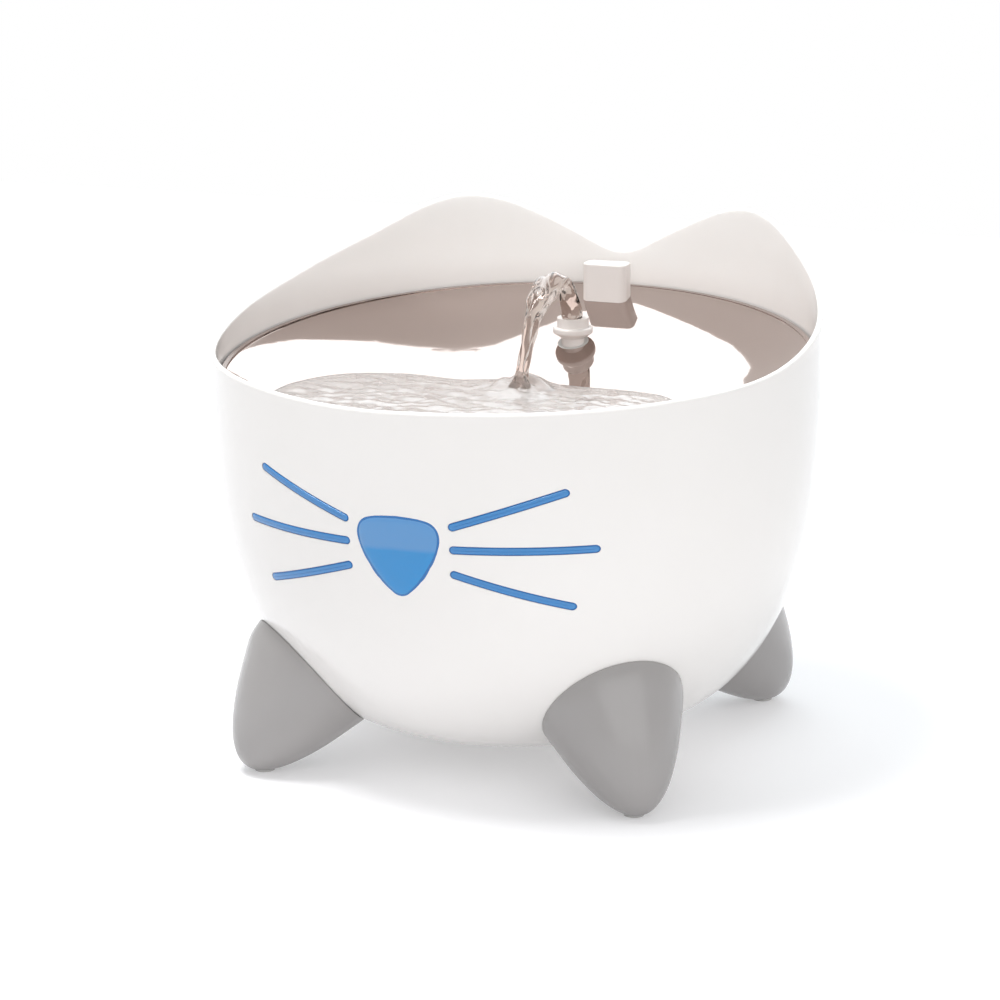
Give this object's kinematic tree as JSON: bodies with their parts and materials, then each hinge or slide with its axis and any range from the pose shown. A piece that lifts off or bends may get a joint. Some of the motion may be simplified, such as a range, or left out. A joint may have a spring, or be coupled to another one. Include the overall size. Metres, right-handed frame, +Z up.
{
  "type": "pet water fountain",
  "caption": "Round bowl fountain on horn feet with an eared guard, steel drinking tray, swivel nozzle, filter basket and submersible pump.",
  "frame": {"origin": "on the floor under the bowl's centre", "axes": "+Z up; the cat's face with nose and whiskers looks along -Y, ears and nozzle are at +Y"},
  "size_m": [0.25, 0.25, 0.209],
  "materials": {
    "shell": "glossy injection moulded ABS, warm white",
    "feet": "satin moulded plastic, mid grey",
    "pads": "matt rubber",
    "screws": "stainless screws",
    "nose": "translucent blue moulding",
    "seal": "soft silicone",
    "pod": "white moulding",
    "board": "lamp board",
    "led": "clear lamp domes",
    "whisker": "blue inlay",
    "steel": "polished stainless steel",
    "white_plastic": "white moulding",
    "tube": "milky tube",
    "basket": "white moulding",
    "foam": "open foam",
    "carbon": "carbon fleece",
    "pump": "black moulding",
    "ferrite": "ferrite magnet",
    "ceramic": "ceramic shaft",
    "bush": "soft bush",
    "laminations": "stacked laminations",
    "copper": "enamelled copper winding"
  },
  "bodies": {
    "base": {"bowl_shell": "shell", "foot_front_left": "feet", "foot_front_right": "feet", "foot_rear_left": "feet", "foot_rear_right": "feet", "foot_pads": "pads", "foot_screws": "screws", "nose_window": "nose", "nose_seal": "seal", "light_pod": "pod", "light_board": "board", "light_led": "led", "cord_grommet": "seal", "riser_tube": "tube", "pump_housing": "pump", "motor_cover": "pump", "chamber_cover": "pump", "intake_cover": "pump", "pump_shaft": "ceramic", "shaft_bushes": "bush", "stator_core": "laminations", "stator_coil": "copper", "suction_cups": "bush", "pump_gland": "bush", "whisker_left_upper": "whisker", "whisker_left_middle": "whisker", "whisker_left_lower": "whisker", "whisker_right_upper": "whisker", "whisker_right_middle": "whisker", "whisker_right_lower": "whisker"},
    "tray": {"drinking_tray": "steel", "tray_carrier": "white_plastic", "lift_knob": "white_plastic", "knob_screws": "screws", "spout_seal": "seal"},
    "spout": {"spout_nozzle": "white_plastic"},
    "filter": {"filter_basket": "basket", "filter_foam": "foam", "filter_carbon": "carbon"},
    "impeller": {"impeller": "white_plastic", "rotor_magnet": "ferrite"},
    "flow_slider": {"flow_slider": "basket"}
  },
  "joints": [
    {"name": "tray_lift", "type": "slide", "parent": "base", "child": "tray", "axis": [0, 0, 1], "range_m": [0, 0.125]},
    {"name": "spout_swivel", "type": "hinge", "parent": "tray", "child": "spout", "pos_m": [0, 0.064, 0.155], "axis": [0, 0, 1], "range_deg": [-90, 90]},
    {"name": "filter_release", "type": "slide", "parent": "tray", "child": "filter", "axis": [0, 0, -1], "range_m": [0, 0.012]},
    {"name": "impeller_spin", "type": "hinge", "parent": "base", "child": "impeller", "pos_m": [0, 0.064, 0.052], "axis": [0, 1, 0], "continuous": true},
    {"name": "flow_adjust", "type": "slide", "parent": "base", "child": "flow_slider", "axis": [1, 0, 0], "range_m": [0, 0.008]}
  ]
}
